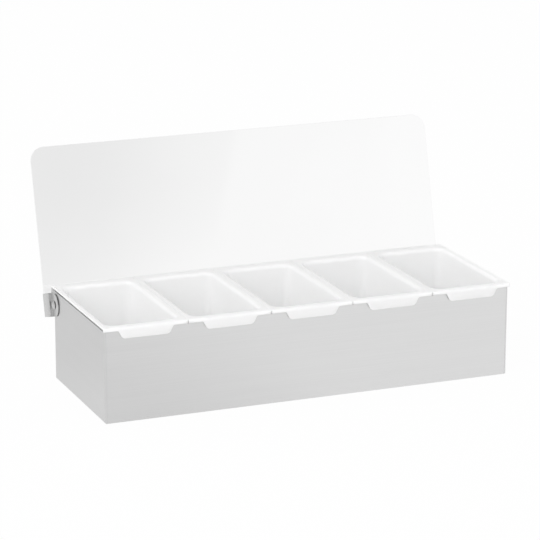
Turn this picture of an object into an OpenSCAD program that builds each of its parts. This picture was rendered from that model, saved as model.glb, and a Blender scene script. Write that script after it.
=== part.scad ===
// Condiment caddy: a folded steel housing, five lift-out plastic inserts and one wide
// clear lid that flips back on a clip and a rivet at each end.
// Origin: centre of the housing's underside. +X is right, -Y is the front, +Z is up.
// The lid is drawn open, leaning back, as it stands in use.

/* [Housing] */
// Outside width of the steel housing
body_w = 440; // [400:1:480]
// Outside depth of the steel housing
body_d = 160; // [150:1:175]
// Height of the housing's walls
body_h = 95; // [88:1:110]
// Sheet thickness of the housing
sheet = 1; // [0.8:0.1:1.4]
// Outside radius of the upright corners
corner_r = 2; // [1.6:0.1:4]
// Outside radius of the bends round the base
bend_r = 3; // [1.6:0.1:6]
// How far the rear flange and the ears at its ends stand out behind the rear wall
flange_out = 9; // [8:0.5:12]
// Height of the ears below the top of the walls
ear_h = 14; // [8:0.5:24]
// Radius at the lower corner of the ears
ear_r = 6; // [3:0.5:7]

/* [Insert rims] */
// Height of the rims above the housing's walls
rim_rise = 4; // [3.4:0.1:6]
// Wall thickness of the rims, lips and tabs
rim_t = 1.4; // [1:0.1:2]
// How far the rims stand out in front of the front wall
rim_front = 2.5; // [2:0.1:4]
// How far the rims stand out behind the rear wall
rim_rear = 6.5; // [5.5:0.1:6.7]
// How far the end rims stand out past the end walls
rim_side = 1.5; // [0.5:0.1:2.2]
// Gap between two rims, side by side
rim_gap = 0.6; // [0.4:0.1:1.5]
// Corner radius of the rims, seen from above
rim_corner_r = 3; // [2:0.1:4]
// Radius where the front of the rim rolls over into its lip
roll_r = 3; // [2:0.1:3.2]
// How far the front and rear lips reach below the rim's top
lip_drop = 3.4; // [3.2:0.1:3.8]
// Length of the seat ribs under each rim
rib_l = 60; // [30:1:64]
// Thickness of the seat ribs
rib_t = 2.4; // [1.6:0.1:2.4]
// Distance of the rear seat rib behind the rear wall
rib_out = 3; // [2:0.1:4]
// Clearance under the seat ribs
seat_gap = 0.2; // [0.1:0.05:0.3]

/* [Insert tubs] */
// Wall thickness of the tubs
tub_t = 1.8; // [1.2:0.1:2.2]
// Clearance from the front wall to the tubs
tub_front_gap = 5.7; // [4:0.1:8]
// Clearance from the rear wall to the tubs
tub_rear_gap = 4.7; // [3:0.1:8]
// Clearance from the end walls to the outer tubs
tub_side_gap = 2.9; // [2.2:0.1:5]
// Free height for ice under the tubs
ice_h = 14; // [6:0.5:24]
// Inside radius of the tubs' upright corners
tub_corner_r = 9; // [7:0.5:14]
// Inside radius round the tubs' floor
tub_floor_r = 7; // [4:0.5:7]
// How far each tub wall leans in towards its foot
tub_draft = 2.5; // [0:0.1:5]
// Chamfer round the tubs' mouth
mouth_c = 1.2; // [0.6:0.1:1.4]

/* [Front tabs] */
// Width of the tab where it leaves the lip
tab_top_w = 57.5; // [50:0.5:66]
// Width of the tab at its foot
tab_foot_w = 49; // [40:0.5:52]
// How far the tab reaches below the rim's top
tab_drop = 11.7; // [9:0.1:16]
// Radius of the tab's lower corners
tab_r = 5; // [2:0.1:5.5]

/* [Lid] */
// How far the lid's side edges stand out past the housing
lid_over = 4.4; // [4:0.1:8]
// Thickness of the lid
lid_t = 2; // [1.5:0.1:4]
// Reach of the lid in front of the pivot, when closed
lid_reach = 163.5; // [150:0.5:176]
// Length of the lid behind the pivot, when closed
lid_tail = 12; // [9:0.5:13]
// Radius of the lid's front corners
lid_corner_r = 15; // [5:1:30]
// Clearance from the rims' rear edge to the lid's inner face as it swings past
lid_gap = 1.2; // [0.8:0.1:3]
// Angle from closed to the pose drawn here, in degrees
open_angle = 105; // [95:1:130]

/* [Hinge] */
// Height of the pivot below the top of the walls
pivot_drop = 14.3; // [13:0.1:16]
// Distance from the bend at the rear corners to the rivet's closed end
pivot_gap = 0.1; // [0.1:0.1:1]
// Radius of the pivot pin
pin_r = 1.6; // [1.2:0.1:1.7]
// Running clearance round the pin
pin_gap = 0.05; // [0.02:0.01:0.1]
// Radius of the rivet's outer head
head_r = 4.6; // [3.5:0.1:6]
// Height of the rivet's outer head
head_h = 1.8; // [1:0.1:2.5]
// Radius of the rivet's closed end, inside the end wall
tail_r = 2.1; // [1.9:0.1:2.6]
// Height of the rivet's closed end
tail_h = 0.8; // [0.5:0.1:1.2]
// Sheet thickness of the clips
clip_t = 1; // [0.8:0.1:1.6]
// Clearance from the end wall to the clip, and from the clip to the rivet's head
clip_gap = 0.4; // [0.3:0.05:0.6]
// Width of the clip along the lid's side edge
clip_w = 24; // [20:0.5:26]
// Reach of the clip past the pivot, away from the lid
clip_reach = 12.5; // [10:0.5:14]
// Distance from the lid's inner face to the clip's step
clip_step = 14; // [10:0.5:15]
// Depth of the clip's flange over the lid's outer face
clip_grip = 11; // [6:0.5:20]
// Outside radius of the clip's bends
clip_r = 2.2; // [2:0.1:3]

/* [Hidden] */
eps = 0.01;
round_fn = 64;
hull_fn = 32;
insert_count = 5;

front_y = -body_d / 2;
rear_y = body_d / 2;
seam_x = body_w / 2 - corner_r;
far = 4 * body_w;

pitch = (body_w + 2 * rim_side) / insert_count;
rim_w = pitch - rim_gap;
rim_front_y = front_y - rim_front;
rim_rear_y = rear_y + rim_rear;
rim_d = rim_rear_y - rim_front_y;
rim_top = body_h + rim_rise;
lip_z = rim_top - lip_drop;
tub_w = body_w - 2 * (sheet + tub_side_gap) - (insert_count - 1) * pitch;
tub_front_y = front_y + sheet + tub_front_gap;
tub_rear_y = rear_y - sheet - tub_rear_gap;
tub_d = tub_rear_y - tub_front_y;
tub_foot = sheet + ice_h;

pivot_y = rear_y - corner_r - pivot_gap - tail_r;
pivot_z = body_h - pivot_drop;
lid_w = body_w + 2 * lid_over;
lid_rise = norm([rim_rear_y - pivot_y, rim_top - pivot_z]) + lid_gap;
clip_x = body_w / 2 + clip_gap;
clip_out_x = lid_w / 2 + clip_t;
head_x = clip_x + clip_t + clip_gap;

steel = [0.83, 0.83, 0.84];
polished = [0.74, 0.75, 0.76];
milky = [0.93, 0.94, 0.94];
clear = [0.9, 0.93, 0.94, 0.35];

// Points on an arc of radius r about (cx, cy), from angle a0 to a1
function arc(cx, cy, r, a0, a1, n = 8) =
  [for (i = [0:n]) let (a = a0 + (a1 - a0) * i / n) [cx + r * cos(a), cy + r * sin(a)]];

// A w by d rectangle about the origin, with corners of radius r
module rounded_rect(w, d, r, fn = round_fn) {
  square([w - 2 * r, d], center = true);
  square([w, d - 2 * r], center = true);
  for (x = [-1, 1], y = [-1, 1])
    translate([x * (w / 2 - r), y * (d / 2 - r)]) circle(r = r, $fn = fn);
}

// The upright side of a body, seen along the axis: only its two lower corners are rounded
module side_outline(w, h, r) {
  translate([-w / 2, r]) square([w, h - r]);
  translate([-(w / 2 - r), 0]) square([w - 2 * r, r + eps]);
  for (x = [-1, 1]) translate([x * (w / 2 - r), r]) circle(r = r, $fn = round_fn);
}

// Turns a flat shape so that its x runs along Y and its y along Z, and its height along X
module along_x(l) {
  rotate([90, 0, 90]) linear_extrude(l, center = true) children();
}

// Turns a flat shape so that its x runs along X and its y along Z, and its height along Y
module along_y(l) {
  rotate([90, 0, 0]) linear_extrude(l, center = true) children();
}

// The housing's outer form, drawn in by inset on every side and raised by inset
module box_form(inset, top) {
  w = body_w - 2 * inset;
  d = body_d - 2 * inset;
  intersection() {
    translate([0, 0, inset]) linear_extrude(top - inset) rounded_rect(w, d, corner_r - inset);
    translate([0, 0, inset]) along_x(far) side_outline(d, top - inset, bend_r - inset);
    translate([0, 0, inset]) along_y(far) side_outline(w, top - inset, bend_r - inset);
  }
}

// The open steel box before it is divided into the wrap and the two end panels
module steel_box() {
  difference() {
    box_form(0, body_h);
    box_form(sheet, body_h + sheet);
  }
}

// Front wall, base and rear wall from one sheet, with a flange behind the rear wall's top
module housing_wrap() {
  color(steel) {
    intersection() {
      steel_box();
      translate([-seam_x, -far / 2, -far / 2]) cube([2 * seam_x, far, far]);
    }
    translate([-seam_x, rear_y - sheet, body_h - sheet])
      cube([2 * seam_x, sheet + flange_out, sheet]);
  }
}

// One ear, flat in the end wall's plane, that closes an end of the flange, seen from the side
module ear_outline() {
  ear_rear = rear_y + flange_out;
  ear_foot = body_h - ear_h;
  ear_front = rear_y - corner_r;
  translate([ear_front, ear_foot]) square([ear_rear - ear_r - ear_front, ear_h]);
  translate([ear_front, ear_foot + ear_r]) square([ear_rear - ear_front, ear_h - ear_r]);
  translate([ear_rear - ear_r, ear_foot + ear_r]) circle(r = ear_r, $fn = round_fn);
}

// One end of the housing, with its ear and the hole for the pivot; side is -1 or 1
module end_panel(side) {
  color(steel) difference() {
    union() {
      intersection() {
        steel_box();
        translate([side * (seam_x + far / 2), 0, 0]) cube(far, center = true);
      }
      translate([side * (body_w - sheet) / 2, 0, 0]) along_x(sheet) ear_outline();
    }
    translate([side * body_w / 2, pivot_y, pivot_z])
      rotate([0, 90, 0]) cylinder(r = pin_r, h = 4 * sheet, center = true, $fn = round_fn);
  }
}

// A tub's form from foot to mouth, drawn in by the draft; r and foot_r are corner radii
module tub_form(w, d, r, foot_r, foot, top) {
  hull() {
    for (x = [-1, 1], y = [-1, 1]) {
      translate([x * (w / 2 - r), y * (d / 2 - r), top - eps])
        cylinder(r = r, h = eps, $fn = hull_fn);
      translate([x * (w / 2 - tub_draft - foot_r), y * (d / 2 - tub_draft - foot_r), foot + foot_r])
        sphere(r = foot_r, $fn = hull_fn);
    }
  }
}

// The space inside a tub, with its chamfered mouth
module tub_space() {
  w = tub_w - 2 * tub_t;
  d = tub_d - 2 * tub_t;
  tub_form(w, d, tub_corner_r, tub_floor_r, tub_foot + tub_t, rim_top - mouth_c + eps);
  hull() {
    translate([0, 0, rim_top - mouth_c]) linear_extrude(eps)
      rounded_rect(w, d, tub_corner_r, hull_fn);
    translate([0, 0, rim_top]) linear_extrude(eps)
      rounded_rect(w + 2 * mouth_c, d + 2 * mouth_c, tub_corner_r + mouth_c, hull_fn);
  }
}

// The quarter round where the front of the rim rolls down, and its lip, seen from the side
module roll_outline() {
  translate([roll_r, rim_top - roll_r]) intersection() {
    difference() {
      circle(r = roll_r, $fn = round_fn);
      circle(r = roll_r - rim_t, $fn = round_fn);
    }
    translate([-2 * roll_r, 0]) square(2 * roll_r);
  }
  translate([0, lip_z]) square([rim_t, rim_top - roll_r - lip_z + eps]);
}

// The tab's outline, seen from the front: its top edge is at the lip, its foot is at z = 0
module tab_outline() {
  h = tab_drop - roll_r;
  lean = atan((tab_top_w - tab_foot_w) / 2 / h);
  run = tab_r / tan(45 + lean / 2);
  right = concat(
    arc(tab_foot_w / 2 - run, tab_r, tab_r, -90, -lean),
    [[tab_top_w / 2, h]]
  );
  left = [for (i = [len(right) - 1:-1:0]) [-right[i][0], right[i][1]]];
  polygon(concat(right, left));
}

// A rib under the rim that carries it on the wall or flange at y
module seat_rib(y) {
  z = body_h + seat_gap;
  translate([-rib_l / 2, y - rib_t / 2, z]) cube([rib_l, rib_t, rim_top - rim_t - z + eps]);
}

// The flat top of the rim, without the strip that the front roll takes up
module rim_plate() {
  translate([0, 0, rim_top - rim_t]) linear_extrude(rim_t) difference() {
    translate([0, (rim_front_y + rim_rear_y) / 2]) rounded_rect(rim_w, rim_d, rim_corner_r);
    translate([-(rim_w / 2 - rim_corner_r), rim_front_y - eps])
      square([rim_w - 2 * rim_corner_r, roll_r + eps]);
  }
}

// Rim with its front roll, lips, tab and seat ribs
module insert_rim() {
  straight = rim_w - 2 * rim_corner_r;
  rim_plate();
  translate([0, rim_front_y, 0]) along_x(straight) roll_outline();
  translate([-straight / 2, rim_rear_y - rim_t, lip_z])
    cube([straight, rim_t, rim_top - rim_t - lip_z + eps]);
  translate([0, rim_front_y + rim_t / 2, rim_top - tab_drop]) along_y(rim_t) tab_outline();
  seat_rib(front_y + sheet / 2);
  seat_rib(rear_y + rib_out);
}

// One lift-out insert; number 1 is at the left
module insert(number) {
  x = (number - (insert_count + 1) / 2) * pitch;
  color(milky) translate([x, 0, 0]) difference() {
    union() {
      insert_rim();
      translate([0, (tub_front_y + tub_rear_y) / 2, 0])
        tub_form(tub_w, tub_d, tub_corner_r + tub_t, tub_floor_r + tub_t, tub_foot,
          rim_top - rim_t + eps);
    }
    translate([0, (tub_front_y + tub_rear_y) / 2, 0]) tub_space();
  }
}

// Puts what is drawn about the pivot, with the lid closed, into the open pose
module hinged() {
  translate([0, pivot_y, pivot_z]) rotate([-open_angle, 0, 0]) children();
}

// Clear sheet, its two front corners rounded
module lid_panel() {
  color(clear) hinged() translate([0, 0, lid_rise]) linear_extrude(lid_t) {
    translate([-lid_w / 2, lid_corner_r - lid_reach])
      square([lid_w, lid_reach + lid_tail - lid_corner_r]);
    translate([lid_corner_r - lid_w / 2, -lid_reach])
      square([lid_w - 2 * lid_corner_r, lid_corner_r + eps]);
    for (x = [-1, 1]) translate([x * (lid_w / 2 - lid_corner_r), lid_corner_r - lid_reach])
      circle(r = lid_corner_r, $fn = round_fn);
  }
}

// The clip's section across the lid's side edge: x outwards, y up from the pivot
module clip_section() {
  step_z = lid_rise - clip_step;
  top_z = lid_rise + lid_t + clip_t;
  in_r = clip_r - clip_t;
  polygon(concat(
    [[clip_x, step_z]],
    arc(clip_out_x - clip_r, step_z + clip_r, clip_r, -90, 0),
    arc(clip_out_x - clip_r, top_z - clip_r, clip_r, 0, 90),
    [[clip_out_x - clip_grip, top_z], [clip_out_x - clip_grip, top_z - clip_t],
     [clip_out_x - clip_t, top_z - clip_t]],
    arc(clip_out_x - clip_r, step_z + clip_r, in_r, 0, -90),
    [[clip_x, step_z + clip_t]]
  ));
}

// The clip's ear, seen along the pivot's axis: x towards the lid's tail, y up
module clip_ear_outline() {
  r = clip_w / 2;
  ear_top = lid_rise - clip_step + clip_t;
  translate([0, r - clip_reach]) circle(r = r, $fn = round_fn);
  translate([-r, r - clip_reach]) square([clip_w, clip_reach - r + ear_top]);
}

// Steel clip that holds one side edge of the lid and turns on the rivet; side is -1 or 1
module hinge_clip(side) {
  color(polished) hinged() mirror([side < 0 ? 1 : 0, 0, 0]) difference() {
    union() {
      along_y(clip_w) clip_section();
      translate([clip_x + clip_t / 2, 0, 0]) along_x(clip_t) clip_ear_outline();
    }
    translate([clip_x + clip_t / 2, 0, 0]) rotate([0, 90, 0])
      cylinder(r = pin_r + pin_gap, h = 2 * clip_t, center = true, $fn = round_fn);
  }
}

// A shallow dome of base radius r and height h, standing on z = 0
module dome(r, h) {
  ball_r = (r * r + h * h) / (2 * h);
  intersection() {
    translate([0, 0, h - ball_r]) sphere(r = ball_r, $fn = round_fn);
    translate([0, 0, ball_r]) cube(2 * ball_r, center = true);
  }
}

// Rivet that pins one clip to its end wall; side is -1 or 1
module pivot_rivet(side) {
  pin_start = body_w / 2 - sheet;
  color(polished) mirror([side < 0 ? 1 : 0, 0, 0]) translate([0, pivot_y, pivot_z])
    rotate([0, 90, 0]) {
      translate([0, 0, pin_start - tail_h]) cylinder(r = tail_r, h = tail_h, $fn = round_fn);
      translate([0, 0, pin_start - eps])
        cylinder(r = pin_r, h = head_x - pin_start + 2 * eps, $fn = round_fn);
      translate([0, 0, head_x]) dome(head_r, head_h);
    }
}

housing_wrap();
end_panel(-1);  // end_panel_left
end_panel(1);  // end_panel_right
insert(1);  // insert_1
insert(2);  // insert_2
insert(3);  // insert_3
insert(4);  // insert_4
insert(5);  // insert_5
lid_panel();
hinge_clip(-1);  // hinge_clip_left
hinge_clip(1);  // hinge_clip_right
pivot_rivet(-1);  // pivot_rivet_left
pivot_rivet(1);  // pivot_rivet_right
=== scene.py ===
"""Looks of the condiment caddy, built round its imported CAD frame. Millimetres in the
numbers below, metres in the meshes; +X is right, -Y is the front, +Z is up."""

import math

import bmesh
import bpy
from mathutils import Matrix, Vector


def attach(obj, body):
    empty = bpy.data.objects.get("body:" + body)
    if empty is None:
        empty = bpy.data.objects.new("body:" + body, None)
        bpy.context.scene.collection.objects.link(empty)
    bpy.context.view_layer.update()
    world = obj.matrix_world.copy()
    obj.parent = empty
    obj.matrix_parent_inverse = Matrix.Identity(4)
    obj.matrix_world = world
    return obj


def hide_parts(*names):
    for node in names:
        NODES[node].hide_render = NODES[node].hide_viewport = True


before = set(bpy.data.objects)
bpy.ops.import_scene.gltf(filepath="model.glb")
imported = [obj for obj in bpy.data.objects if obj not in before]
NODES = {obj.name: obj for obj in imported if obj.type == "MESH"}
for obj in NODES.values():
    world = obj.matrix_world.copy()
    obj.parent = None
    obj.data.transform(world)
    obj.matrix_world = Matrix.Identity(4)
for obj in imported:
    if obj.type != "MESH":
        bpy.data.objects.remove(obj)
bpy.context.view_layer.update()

MM = 0.001

# Sizes in millimetres. The inserts, five in a row
INSERTS, PITCH = 5, 88.6
RIM_HALF, RIM_FRONT, RIM_REAR, RIM_TOP = 44.2, -82.5, 86.5, 99.0
RIM_T, RIM_CORNER, ROLL, LIP_Z = 1.4, 2.0, 3.0, 95.6
TUB_HALF, TUB_FRONT, TUB_REAR, TUB_FOOT, TUB_T = 38.5, -72.9, 73.9, 15.0, 2.0
TUB_CORNER, TUB_FOOT_R, TUB_DRAFT = 9.0, 7.0, 2.5
# Rounding of the tubs' mouths, and the fillet from the rim down into the tub's outside
MOUTH_R, FILLET_R = 4.0, 1.4
TAB_TOP_HALF, TAB_FOOT_HALF, TAB_DROP, TAB_R = 28.75, 24.5, 11.7, 5.0
# Ribs that carry the rim on the housing
RIB_SIZE, RIB_FOOT, FRONT_RIB_Y, REAR_RIB_Y = (60.0, 2.4, 2.7), 95.2, -79.5, 83.0
# Small rounding at the foot of the lips and tabs, and along the lid's edges
LIP_EDGE, LID_EDGE = 0.35, 0.3
# The lid and its hinge
PIVOT = Vector((0, 75.8, 80.7))
OPEN_ANGLE = 105.0
LID_HALF, LID_T, LID_REACH, LID_TAIL, LID_CORNER, LID_RISE = 224.4, 2.0, 163.5, 12.0, 15.0, 22.399
HEAD_X, PIN_START, PIN_R, TAIL_R = 221.8, 219.0, 1.6, 2.1
HEAD_R, HEAD_H = 4.6, 1.8
# Edge roundings of the steel sheets and of the clips
SHEET_EDGE, CLIP_EDGE = 0.2, 0.25


# ---------------------------------------------------------------- mesh helpers
def new_object(name, bm, smooth_angle=40.0):
    """A mesh object from a bmesh in millimetres, shaded smooth below the given angle."""
    bmesh.ops.recalc_face_normals(bm, faces=bm.faces)
    bmesh.ops.scale(bm, vec=(MM, MM, MM), verts=bm.verts)
    mesh = bpy.data.meshes.new(name)
    bm.to_mesh(mesh)
    bm.free()
    for face in mesh.polygons:
        face.use_smooth = True
    mesh.set_sharp_from_angle(angle=math.radians(smooth_angle))
    obj = bpy.data.objects.new(name, mesh)
    bpy.context.scene.collection.objects.link(obj)
    return obj


def add_bevel(obj, width, segments=2, angle=35.0):
    """Rounds the piece's sharp edges by width, in millimetres."""
    mod = obj.modifiers.new("edges", "BEVEL")
    mod.width = width * MM
    mod.segments = segments
    mod.limit_method = "ANGLE"
    mod.angle_limit = math.radians(angle)
    mod.harden_normals = True
    mod.use_clamp_overlap = True


def from_node(node, name, bevel):
    """A piece with a CAD node's own form, its flat faces made whole and its edges rounded."""
    bm = bmesh.new()
    bm.from_mesh(NODES[node].data)
    bmesh.ops.scale(bm, vec=(1 / MM, 1 / MM, 1 / MM), verts=bm.verts)
    bmesh.ops.remove_doubles(bm, verts=bm.verts, dist=0.002)
    bmesh.ops.dissolve_limit(
        bm, angle_limit=math.radians(0.5), verts=bm.verts, edges=bm.edges
    )
    obj = new_object(name, bm)
    add_bevel(obj, bevel)
    return obj


def loft(bm, rings):
    """Joins closed rings of equal length with quads, and closes both ends."""
    rows = [[bm.verts.new(p) for p in ring] for ring in rings]
    count = len(rows[0])
    for a, b in zip(rows, rows[1:]):
        for i in range(count):
            k = (i + 1) % count
            bm.faces.new((a[i], a[k], b[k], b[i]))
    bm.faces.new(rows[0][::-1])
    bm.faces.new(rows[-1])


def smoothstep(t):
    """Goes from 0 to 1 as t does, level at both ends."""
    t = min(1.0, max(0.0, t))
    return t * t * (3 - 2 * t)


def mix(a, b, t):
    """The number at the share t of the way from a to b."""
    return a + (b - a) * t


# ---------------------------------------------------------------- insert
CORNER_STEPS, SIDE_STEPS = 10, 14
STRAIGHT = RIM_HALF - RIM_CORNER
# Lower edge of the lips on the sides, then the rim's roll radius on the sides, where the
# front corners start, and along the rear
SIDE_Z, SIDE_ROLL, CORNER_ROLL, REAR_ROLL = 97.6, 0.3, 1.6, 1.0


def tab_profile():
    """Lower outline of the tab and lip as (x, z), from the tab's middle to the corner's start."""
    foot_z = RIM_TOP - TAB_DROP
    lean = math.atan((TAB_TOP_HALF - TAB_FOOT_HALF) / (TAB_DROP - ROLL))
    run = TAB_R / math.tan(math.radians(45) + lean / 2)
    points = [(0.0, foot_z), (8.0, foot_z), (15.0, foot_z)]
    steps = 7
    for i in range(steps + 1):
        a = math.radians(-90) + (math.radians(90) - lean) * i / steps
        points.append((TAB_FOOT_HALF - run + TAB_R * math.cos(a),
                       foot_z + TAB_R * (1 + math.sin(a))))
    x1, z1 = points[-1]
    for t in (0.35, 0.65, 0.85):
        points.append((mix(x1, TAB_TOP_HALF, t), mix(z1, LIP_Z, t)))
    # the small fillet from the tab's side into the lip, and stops along the lip
    for past, below in ((-0.1, 0.45), (0.5, 0.12), (1.6, 0.0)):
        points.append((TAB_TOP_HALF + past, LIP_Z - below))
    points += [(x, LIP_Z) for x in (32.5, 35.0, 37.0, 38.6, 40.0, STRAIGHT)]
    return points


def stations():
    """Stops round the insert: the side or corner, the place on it, the height of the lip's
    lower edge there, and the rim's roll radius."""
    half = tab_profile()
    front = [(-x, z) for x, z in reversed(half[1:])] + half
    stops = []
    for x, z in front:
        near = smoothstep((STRAIGHT - abs(x)) / 6.0)
        stops.append(("front", x / STRAIGHT, z, mix(CORNER_ROLL, ROLL, near)))
    for corner in range(4):
        start_roll = CORNER_ROLL if corner in (0, 3) else REAR_ROLL
        for i in range(1, CORNER_STEPS):
            t = i / CORNER_STEPS
            away = t if corner in (0, 2) else 1 - t
            stops.append((("corner", corner), t, mix(LIP_Z, SIDE_Z, smoothstep(away ** 8)),
                          mix(start_roll, SIDE_ROLL, away)))
        if corner < 3:
            side = ("right", "rear", "left")[corner]
            for i in range(SIDE_STEPS + 1):
                s = 1 - 2 * i / SIDE_STEPS
                if side == "rear":
                    stops.append((side, s, LIP_Z, REAR_ROLL))
                else:
                    stops.append((side, -s if side == "right" else s, SIDE_Z, SIDE_ROLL))
    return stops


STOPS = stations()


def outline(half, y0, y1, r, z, inset=None):
    """The ring of points on a rounded rectangle. z and inset are numbers or one for each stop."""
    ring = []
    for i, (kind, s, _, _) in enumerate(STOPS):
        d = 0.0 if inset is None else inset[i]
        height = z[i] if isinstance(z, list) else z
        h, a, b = half - d, y0 + d, y1 - d
        c = max(0.0, r - d)
        if kind == "front":
            p = (s * (h - c), a)
        elif kind == "right":
            p = (h, mix(a + c, b - c, (s + 1) / 2))
        elif kind == "rear":
            p = (s * (h - c), b)
        elif kind == "left":
            p = (-h, mix(a + c, b - c, (s + 1) / 2))
        else:
            corner = kind[1]
            angle = math.radians(-90 + 90 * corner + 90 * s)
            cx = (h - c) * (1 if corner in (0, 1) else -1)
            cy = a + c if corner in (0, 3) else b - c
            p = (cx + c * math.cos(angle), cy + c * math.sin(angle))
        ring.append((p[0], p[1], height))
    return ring


def insert_mesh():
    """One lift-out insert: tub, rim with its front roll, lips and tab, and two ribs."""
    bm = bmesh.new()
    low = [s[2] for s in STOPS]
    roll = [s[3] for s in STOPS]
    rim = (RIM_HALF, RIM_FRONT, RIM_REAR, RIM_CORNER)
    under = RIM_TOP - RIM_T
    edge = LIP_EDGE
    rings = []

    # inside of the tub, from its floor up
    inner_half = TUB_HALF - TUB_T
    inner = (TUB_FRONT + TUB_T, TUB_REAR - TUB_T)
    foot_steps = 7
    z0 = TUB_FOOT + TUB_T + TUB_FOOT_R
    for i in range(foot_steps, -1, -1):
        a = math.radians(90) * i / foot_steps
        r = TUB_FOOT_R * math.cos(a)
        d = TUB_DRAFT + TUB_FOOT_R - r
        rings.append(outline(inner_half - d, inner[0] + d, inner[1] - d, r,
                             z0 - TUB_FOOT_R * math.sin(a)))
    for t in (0.25, 0.5, 0.75, 1.0):
        d = TUB_DRAFT * (1 - t)
        rings.append(outline(inner_half - d, inner[0] + d, inner[1] - d,
                             mix(TUB_FOOT_R, TUB_CORNER, t), mix(z0, RIM_TOP - MOUTH_R, t)))
    steps = 7
    for i in range(1, steps + 1):
        a = math.radians(90) * i / steps
        d = -MOUTH_R * (1 - math.cos(a))
        rings.append(outline(inner_half - d, inner[0] + d, inner[1] - d, TUB_CORNER - d,
                             RIM_TOP - MOUTH_R + MOUTH_R * math.sin(a)))
    # top of the rim and its roll
    for i in range(steps + 1):
        a = math.radians(90) * i / steps
        rings.append(outline(*rim, [RIM_TOP - r * (1 - math.cos(a)) for r in roll],
                             [r * (1 - math.sin(a)) for r in roll]))
    # lip or tab: outer face, lower edge, inner face
    rings.append(outline(*rim, [min(z + edge, RIM_TOP - r) for z, r in zip(low, roll)],
                         [0.0] * len(low)))
    rings.append(outline(*rim, [z + 0.3 * edge for z in low], [0.3 * edge] * len(low)))
    rings.append(outline(*rim, low, [edge] * len(low)))
    rings.append(outline(*rim, low, [RIM_T - edge] * len(low)))
    rings.append(outline(*rim, [min(z + edge, under) for z in low], [RIM_T] * len(low)))
    knee = [min(under, max(z + edge, RIM_TOP - r)) for z, r in zip(low, roll)]
    rings.append(outline(*rim, knee, [RIM_T] * len(low)))
    rings.append(outline(*rim, [mix(k, under, 0.7) for k in knee],
                         [RIM_T + 0.3 * max(0.0, r - RIM_T) for r in roll]))
    rings.append(outline(*rim, under, [max(RIM_T, r) for r in roll]))
    # outside of the tub, down to its foot
    outer_r = TUB_CORNER + TUB_T
    fillet_steps = 5
    for i in range(fillet_steps):
        a = math.radians(90) * i / fillet_steps
        d = FILLET_R * (1 - math.sin(a))
        rings.append(outline(TUB_HALF + d, TUB_FRONT - d, TUB_REAR + d, outer_r + d,
                             under - FILLET_R * (1 - math.cos(a))))
    foot_r = TUB_FOOT_R + TUB_T
    for t in (0.98, 0.75, 0.5, 0.25, 0.0):
        d = TUB_DRAFT * (1 - t)
        rings.append(outline(TUB_HALF - d, TUB_FRONT + d, TUB_REAR - d,
                             mix(foot_r, outer_r, t), mix(z0, under, t)))
    for i in range(1, foot_steps + 1):
        a = math.radians(90) * i / foot_steps
        r = foot_r * math.cos(a)
        d = TUB_DRAFT + foot_r - r
        rings.append(outline(TUB_HALF - d, TUB_FRONT + d, TUB_REAR - d, r,
                             z0 - foot_r * math.sin(a)))
    loft(bm, rings)
    for y in (FRONT_RIB_Y, REAR_RIB_Y):
        box = bmesh.ops.create_cube(bm, size=1.0)["verts"]
        bmesh.ops.scale(bm, vec=RIB_SIZE, verts=box)
        bmesh.ops.translate(bm, vec=(0, y, RIB_FOOT + RIB_SIZE[2] / 2), verts=box)
    bmesh.ops.remove_doubles(bm, verts=bm.verts, dist=0.01)
    return bm


# ---------------------------------------------------------------- lid, rivets
def open_pose(bm):
    """Turns what was drawn about the pivot, with the lid closed, into the open pose."""
    turn = Matrix.Translation(PIVOT) @ Matrix.Rotation(math.radians(-OPEN_ANGLE), 4, "X")
    bmesh.ops.transform(bm, matrix=turn, verts=bm.verts)


def lid_mesh():
    """The clear sheet, open, with its narrow edge faces in the second material slot."""
    bm = bmesh.new()
    points = [(LID_HALF, LID_TAIL), (-LID_HALF, LID_TAIL)]
    steps = 24
    for side, start in ((-1, 180), (1, 270)):
        for i in range(steps + 1):
            a = math.radians(start + 90 * i / steps)
            points.append((side * (LID_HALF - LID_CORNER) + LID_CORNER * math.cos(a),
                           LID_CORNER - LID_REACH + LID_CORNER * math.sin(a)))

    def ring(inset, z):
        out = []
        for x, y in points:
            cx = max(-(LID_HALF - LID_CORNER), min(LID_HALF - LID_CORNER, x))
            cy = max(LID_CORNER - LID_REACH, y)
            if y >= LID_TAIL - 0.01:
                out.append((x - math.copysign(inset, x), y - inset, z))
            else:
                n = Vector((x - cx, y - cy)).normalized()
                out.append((x - inset * n.x, y - inset * n.y, z))
        return out

    e, z0, z1 = LID_EDGE, LID_RISE, LID_RISE + LID_T
    loft(bm, [ring(e, z0), ring(0.3 * e, z0 + 0.3 * e), ring(0, z0 + e),
              ring(0, z1 - e), ring(0.3 * e, z1 - 0.3 * e), ring(e, z1)])
    for face in bm.faces:
        face.normal_update()
        face.material_index = 1 if abs(face.normal.z) < 0.5 else 0
    open_pose(bm)
    return bm


def lathe(profile, steps=48):
    """A closed form turned about X from (x, radius) points."""
    bm = bmesh.new()
    rings = []
    for x, r in profile:
        angles = [2 * math.pi * i / steps for i in range(steps)]
        rings.append([(x, r * math.cos(a), r * math.sin(a)) for a in angles])
    loft(bm, rings)
    return bm


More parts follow.
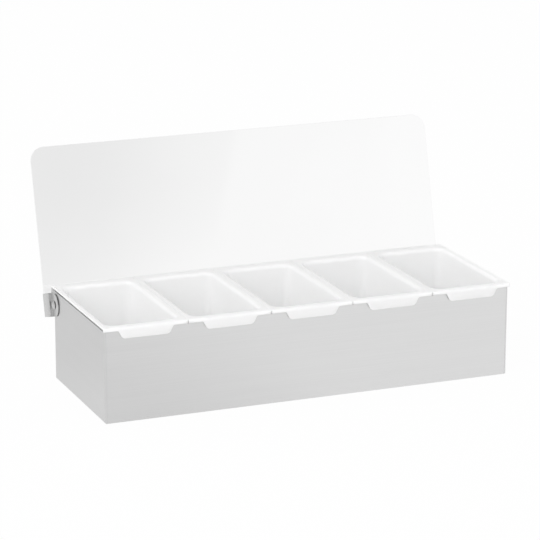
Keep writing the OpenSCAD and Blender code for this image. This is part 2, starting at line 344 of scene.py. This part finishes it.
def rivet_mesh(side):
    """Shank with its closed end inside the end wall and a low domed head outside the clip."""
    profile = [(PIN_START - 0.8, TAIL_R - 0.5), (PIN_START - 0.65, TAIL_R - 0.15),
               (PIN_START - 0.4, TAIL_R), (PIN_START, TAIL_R), (PIN_START, PIN_R),
               (HEAD_X, PIN_R), (HEAD_X, HEAD_R - 0.1), (HEAD_X + 0.12, HEAD_R),
               (HEAD_X + 0.35, HEAD_R - 0.05)]
    ball = (HEAD_R ** 2 + HEAD_H ** 2) / (2 * HEAD_H)
    middle = HEAD_X + HEAD_H - ball
    for r in (4.1, 3.5, 2.8, 2.0, 1.1, 0.4):
        profile.append((middle + math.sqrt(ball ** 2 - r ** 2), r))
    bm = lathe(profile)
    turn = Matrix.Translation((0, PIVOT.y, PIVOT.z))
    if side < 0:
        turn = turn @ Matrix.Scale(-1, 4, (1, 0, 0))
    bmesh.ops.transform(bm, matrix=turn, verts=bm.verts)
    return bm


# ---------------------------------------------------------------- materials
class Tree:
    """A short way to write the nodes of a material or a world."""

    def __init__(self, owner, output="OutputMaterial"):
        owner.use_nodes = True
        self.owner = owner
        self.tree = owner.node_tree
        self.tree.nodes.clear()
        self.out = self.add(output)

    def add(self, kind, **values):
        node = self.tree.nodes.new("ShaderNode" + kind)
        for key, value in values.items():
            setattr(node, key, value)
        return node

    def link(self, source, target):
        self.tree.links.new(source, target)

    def math(self, operation, a, b=0.0):
        node = self.add("Math", operation=operation)
        for socket, value in zip(node.inputs, (a, b)):
            if isinstance(value, (int, float)):
                socket.default_value = value
            else:
                self.link(value, socket)
        return node.outputs[0]

    def coordinates(self, scale):
        where = self.add("TexCoord")
        mapping = self.add("Mapping")
        mapping.inputs["Scale"].default_value = scale
        self.link(where.outputs["Object"], mapping.inputs["Vector"])
        return mapping.outputs["Vector"]

    def noise(self, vector, scale, detail=2.0, roughness=0.5):
        node = self.add("TexNoise")
        node.inputs["Scale"].default_value = scale
        node.inputs["Detail"].default_value = detail
        node.inputs["Roughness"].default_value = roughness
        self.link(vector, node.inputs["Vector"])
        return node.outputs["Fac"]

    def between(self, factor, low, high, start=0.3, end=0.7):
        """Low up to where the factor is start, high from where it is end, and even between."""
        node = self.add("MapRange")
        node.inputs["From Min"].default_value = start
        node.inputs["From Max"].default_value = end
        node.inputs["To Min"].default_value = low
        node.inputs["To Max"].default_value = high
        self.link(factor, node.inputs["Value"])
        return node.outputs["Result"]

    def line(self, factor, *stops):
        """A number that goes from stop to stop as the factor grows, each stop being
        (factor, number), and stays as it is before the first and after the last."""
        total = stops[0][1]
        for (a, low), (b, high) in zip(stops, stops[1:]):
            total = self.math("ADD", self.between(factor, 0.0, high - low, a, b), total)
        return total

    def grey(self, value):
        node = self.add("CombineColor")
        for socket in node.inputs:
            self.link(value, socket)
        return node.outputs["Color"]

    def bump(self, height, strength, distance):
        node = self.add("Bump")
        node.inputs["Strength"].default_value = strength
        node.inputs["Distance"].default_value = distance
        self.link(height, node.inputs["Height"])
        return node.outputs["Normal"]

    def principled(self, **values):
        node = self.add("BsdfPrincipled")
        for key, value in values.items():
            node.inputs[key.replace("_", " ")].default_value = value
        return node


def grain_coordinates(t, along=9.0, across=1500.0):
    """Object coordinates stretched along the sheet's rolling direction: level on upright
    faces, and along X on level ones."""
    where = t.add("TexCoord")
    place = t.add("SeparateXYZ")
    t.link(where.outputs["Object"], place.inputs[0])
    facing = t.add("SeparateXYZ")
    t.link(where.outputs["Normal"], facing.inputs[0])
    level = t.math("GREATER_THAN", t.math("ABSOLUTE", facing.outputs["Z"]), 0.7)
    y_scale = t.math("ADD", t.math("MULTIPLY", level, across - along), along)
    joined = t.add("CombineXYZ")
    t.link(t.math("MULTIPLY", place.outputs["X"], along), joined.inputs[0])
    t.link(t.math("MULTIPLY", place.outputs["Y"], y_scale), joined.inputs[1])
    t.link(t.math("MULTIPLY", place.outputs["Z"], across), joined.inputs[2])
    return joined.outputs[0]


def brushed_steel(name, grey, roughness):
    """Satin stainless sheet with its brushing in colour, roughness and bump."""
    t = Tree(bpy.data.materials.new(name))
    fine = t.noise(grain_coordinates(t), 1.0, 4.0, 0.6)
    broad = t.noise(grain_coordinates(t, 3.0, 90.0), 1.0, 2.0)
    shader = t.principled(Metallic=1.0, Anisotropic=0.5, Anisotropic_Rotation=0.25)
    tone = t.math("ADD", t.between(fine, grey - 0.014, grey + 0.014),
                  t.between(broad, -0.006, 0.006))
    t.link(t.grey(tone), shader.inputs["Base Color"])
    t.link(t.between(fine, roughness - 0.04, roughness + 0.04), shader.inputs["Roughness"])
    t.link(t.bump(fine, 0.12, 0.0001), shader.inputs["Normal"])
    tangent = t.add("Tangent", direction_type="RADIAL", axis="Z")
    t.link(tangent.outputs[0], shader.inputs["Tangent"])
    t.link(shader.outputs[0], t.out.inputs["Surface"])
    return t.owner


def polished_steel(name, grey, roughness):
    """Bright steel with fine lengthwise scratches."""
    t = Tree(bpy.data.materials.new(name))
    vector = t.coordinates((400.0, 400.0, 400.0))
    fine = t.noise(vector, 1.0, 3.0)
    scratch = t.noise(t.coordinates((60.0, 900.0, 900.0)), 1.0, 2.0)
    shader = t.principled(Metallic=1.0)
    t.link(t.grey(t.between(fine, grey - 0.03, grey + 0.03)), shader.inputs["Base Color"])
    t.link(t.between(scratch, roughness - 0.04, roughness + 0.06), shader.inputs["Roughness"])
    t.link(t.bump(scratch, 0.15, 0.00005), shader.inputs["Normal"])
    t.link(shader.outputs[0], t.out.inputs["Surface"])
    return t.owner


def milky_plastic(name):
    """Translucent moulded polypropylene: light goes some way into it."""
    t = Tree(bpy.data.materials.new(name))
    vector = t.coordinates((1.0, 1.0, 1.0))
    cloud = t.noise(vector, 38.0, 3.0)
    skin = t.noise(vector, 1400.0, 2.0)
    shader = t.principled(
        Subsurface_Weight=1.0, Subsurface_Scale=0.0012, Subsurface_Radius=(1.0, 1.0, 1.0),
        IOR=1.49,
    )
    t.link(t.grey(t.between(cloud, 0.96, 0.98)), shader.inputs["Base Color"])
    t.link(t.between(cloud, 0.36, 0.28), shader.inputs["Roughness"])
    t.link(t.bump(skin, 0.12, 0.0001), shader.inputs["Normal"])
    t.link(shader.outputs[0], t.out.inputs["Surface"])
    return t.owner


def clear_plastic(name, grey, roughness):
    """Clear sheet: most light goes straight through, and faces seen from outside also mirror
    what they face. Seen from inside, a Fresnel node would mirror all the light."""
    t = Tree(bpy.data.materials.new(name))
    vector = t.coordinates((1.0, 1.0, 1.0))
    smudge = t.noise(vector, 9.0, 3.0)
    through = t.add("BsdfTransparent")
    t.link(t.grey(t.between(smudge, grey - 0.004, grey + 0.004)), through.inputs["Color"])
    mirror = t.add("BsdfGlossy")
    mirror.inputs["Color"].default_value = (1.0, 1.0, 1.0, 1.0)
    t.link(t.between(smudge, roughness, roughness + 0.03), mirror.inputs["Roughness"])
    fresnel = t.add("Fresnel")
    fresnel.inputs["IOR"].default_value = 2.0
    front = t.math("SUBTRACT", 1.0, t.add("NewGeometry").outputs["Backfacing"])
    blend = t.add("MixShader")
    t.link(t.math("MULTIPLY", fresnel.outputs[0], front), blend.inputs[0])
    t.link(through.outputs[0], blend.inputs[1])
    t.link(mirror.outputs[0], blend.inputs[2])
    t.link(blend.outputs[0], t.out.inputs["Surface"])
    return t.owner


# ---------------------------------------------------------------- pieces
def dress(obj, mat, body, slot, *nodes):
    """Gives a piece its material and body, and hides the CAD nodes it stands for. The slot
    argument is not used.
    """
    obj.data.materials.clear()
    obj.data.materials.append(mat)
    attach(obj, body)
    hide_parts(*nodes)


steel = brushed_steel("brushed_steel", 0.715, 0.34)
polished = polished_steel("polished_steel", 0.69, 0.2)
milky = milky_plastic("milky_plastic")
clear = clear_plastic("clear_plastic", 0.9625, 0.02)
# the edge material's lower see-through grey is painted shade standing in for the dark refraction
# at the sheet's narrow edges; its rougher mirror is the cut edge's own
clear_edge = clear_plastic("clear_plastic_edge", 0.90, 0.12)

wrap = from_node("housing_wrap", "wrap", SHEET_EDGE)
dress(wrap, steel, "housing", "housing_steel", "housing_wrap")
for name in ("left", "right"):
    side = -1 if name == "left" else 1
    panel, clip, rivet = "end_panel_" + name, "hinge_clip_" + name, "pivot_rivet_" + name
    sheet = from_node(panel, "panel_" + name, SHEET_EDGE)
    dress(sheet, steel, "housing", "housing_steel", panel)
    dress(from_node(clip, "clip_" + name, CLIP_EDGE), polished, "lid", "hinge_steel", clip)
    head = new_object("rivet_" + name, rivet_mesh(side))
    dress(head, polished, "housing", "hinge_steel", rivet)
# the lid's large faces stay flat-shaded, or they would mirror as if they bulged
lid = new_object("lid_sheet", lid_mesh(), smooth_angle=10.0)
dress(lid, clear, "lid", "clear_lid", "lid_panel")
lid.data.materials.append(clear_edge)

tubs = [new_object("tub_1", insert_mesh(), smooth_angle=50.0)]
for i in range(1, INSERTS):
    tubs.append(bpy.data.objects.new(f"tub_{i + 1}", tubs[0].data.copy()))
    bpy.context.scene.collection.objects.link(tubs[i])
for i, tub in enumerate(tubs):
    tub.data.transform(Matrix.Translation(((i - (INSERTS - 1) / 2) * PITCH * MM, 0, 0)))
    dress(tub, milky, f"insert_{i + 1}", "insert_plastic", f"insert_{i + 1}")


# ---------------------------------------------------------------- stage
# Brightness of the world on diffuse surfaces
SKY = 0.93
FLOOR_HALF, FLOOR_Z = 9000.0, -0.05
# What the lamps point at, in metres, and the photograph's width in pixels
AIM = (0, 0, 0.08)
PHOTO_WIDTH = 540


def ray_is(t, *names):
    """1 for rays of the named kinds, else 0."""
    path = t.add("LightPath")
    total = path.outputs[names[0]]
    for name in names[1:]:
        total = t.math("MAXIMUM", total, path.outputs[name])
    return total


def floor_material():
    """White to the camera, with the object's soft shadow. Steel mirrors it a little darker
    at the left and behind, as it does in the photograph."""
    t = Tree(bpy.data.materials.new("floor_white"))
    vector = t.coordinates((1.0, 1.0, 1.0))
    diffuse = t.add("BsdfDiffuse")
    t.link(t.grey(t.between(t.noise(vector, 30.0, 3.0), 0.83, 0.85)), diffuse.inputs["Color"])
    glow = t.add("Emission")
    place = t.add("SeparateXYZ")
    t.link(t.add("TexCoord").outputs["Object"], place.inputs[0])
    # painted reflection shade: to mirrored rays the floor glows by position, darker at the left
    # and behind, so steel mirrors it darker there
    painted_reflection_tone = t.math(
        "MULTIPLY",
        t.line(place.outputs["X"], (-1.0, 0.86), (-0.16, 0.89), (-0.055, 0.96), (0.03, 1.03),
               (1.0, 1.04)),
        t.line(place.outputs["Y"], (-1.0, 1.07), (-0.40, 1.06), (-0.25, 1.0), (0.0, 1.0),
               (0.15, 0.92), (1.0, 0.92)))
    camera = ray_is(t, "Is Camera Ray")
    reflected = t.math("MULTIPLY", t.math("SUBTRACT", 1.0, camera), painted_reflection_tone)
    t.link(t.math("ADD", camera, reflected), glow.inputs["Strength"])
    seen = t.add("MixShader")
    t.link(t.math("ADD", t.math("MULTIPLY", camera, 0.12), 0.85), seen.inputs[0])
    t.link(diffuse.outputs[0], seen.inputs[1])
    t.link(glow.outputs[0], seen.inputs[2])
    blend = t.add("MixShader")
    t.link(ray_is(t, "Is Camera Ray", "Is Glossy Ray", "Is Transmission Ray"), blend.inputs[0])
    t.link(diffuse.outputs[0], blend.inputs[1])
    t.link(seen.outputs[0], blend.inputs[2])
    t.link(blend.outputs[0], t.out.inputs["Surface"])
    return t.owner


def add_floor():
    bm = bmesh.new()
    bmesh.ops.create_grid(bm, x_segments=8, y_segments=8, size=FLOOR_HALF)
    bmesh.ops.translate(bm, vec=(0, 0, FLOOR_Z), verts=bm.verts)
    floor = new_object("floor", bm)
    floor.data.materials.append(floor_material())


def add_world():
    """White to the camera; to reflections a soft studio, brighter at the right, with the
    edge of a large light that shows as one slanting line in the lid."""
    world = bpy.data.worlds.new("studio")
    bpy.context.scene.world = world
    t = Tree(world, "OutputWorld")
    parts = t.add("SeparateXYZ")
    t.link(t.add("TexCoord").outputs["Generated"], parts.inputs[0])
    # the large light's edge stands at one value of this slanting measure
    across = t.math("SUBTRACT", parts.outputs["X"], t.math("MULTIPLY", parts.outputs["Z"], 0.274))
    beside = t.math(
        "ADD",
        t.line(across, (0.1, 0.6), (0.2202, 0.0), (0.2274, 0.03), (0.2417, 0.15),
               (0.2558, 0.5), (0.2703, 0.77), (0.2829, 1.0)),
        t.line(parts.outputs["Z"], (0.219, 0.45), (0.226, 0.3), (0.233, 0.15), (0.25, 0.0)))
    large = t.line(across, (0.31, 1.35), (0.343, 1.64), (0.6, 1.2))
    edge = t.between(across, 0.0, 1.0, 0.2822, 0.2836)
    ahead = t.math("ADD", t.math("MULTIPLY", beside, t.math("SUBTRACT", 1.0, edge)),
                   t.math("MULTIPLY", large, edge))
    behind = t.between(parts.outputs["Y"], 0.0, 1.0, -0.2, 0.2)
    reflected = t.math("ADD", t.math("MULTIPLY", ahead, t.math("SUBTRACT", 1.0, behind)),
                       t.math("MULTIPLY", behind, 0.9))
    clear_view = ray_is(t, "Is Camera Ray", "Is Transmission Ray")
    glossy = ray_is(t, "Is Glossy Ray")
    strength = t.math("ADD", t.math("MULTIPLY", glossy, reflected),
                      t.math("MULTIPLY", t.math("SUBTRACT", 1.0, glossy), SKY))
    background = t.add("Background")
    mixed = t.add("Mix")
    mixed.data_type = "FLOAT"
    t.link(clear_view, mixed.inputs[0])
    t.link(strength, mixed.inputs[2])
    mixed.inputs[3].default_value = 1.0
    t.link(mixed.outputs[0], background.inputs["Strength"])
    t.link(background.outputs[0], t.out.inputs["Surface"])


def add_lamp(name, place, size, power):
    """A square soft light that metal and glass don't mirror."""
    data = bpy.data.lights.new(name, "AREA")
    data.size = size
    data.energy = power
    lamp = bpy.data.objects.new(name, data)
    bpy.context.scene.collection.objects.link(lamp)
    lamp.location = place
    lamp.visible_glossy = False
    lamp.rotation_euler = (Vector(AIM) - Vector(place)).to_track_quat("-Z", "Y").to_euler()


def add_camera():
    """The photograph's viewpoint, fitted to the housing's and the lid's corners."""
    azimuth, elevation, roll = (math.radians(v) for v in (-22.104, 15.602, 0.099))
    focal, distance, shift_right, shift_up = 2729.5, 2.82024, 0.01199, -0.0529
    back = Vector((math.sin(azimuth) * math.cos(elevation),
                   -math.cos(azimuth) * math.cos(elevation), math.sin(elevation)))
    level = Vector((math.cos(azimuth), math.sin(azimuth), 0))
    upright = back.cross(level)
    right = level * math.cos(roll) + upright * math.sin(roll)
    up = upright * math.cos(roll) - level * math.sin(roll)
    data = bpy.data.cameras.new("camera")
    data.sensor_width = 36.0
    data.lens = focal / PHOTO_WIDTH * data.sensor_width
    data.clip_start, data.clip_end = 0.1, 50
    camera = bpy.data.objects.new("camera", data)
    bpy.context.scene.collection.objects.link(camera)
    turn = Matrix((right, up, back)).transposed().to_4x4()
    place = Vector((0, 0, 0.06)) + back * distance - right * shift_right - up * shift_up
    camera.matrix_world = Matrix.Translation(place) @ turn
    bpy.context.scene.camera = camera


add_floor()
add_world()
add_lamp("key", (-3.2, -2.4, 3.3), 4.0, 122)
add_lamp("fill", (2.0, -3.6, 3.1), 4.0, 16)
add_camera()
bpy.context.scene.view_settings.view_transform = "Standard"
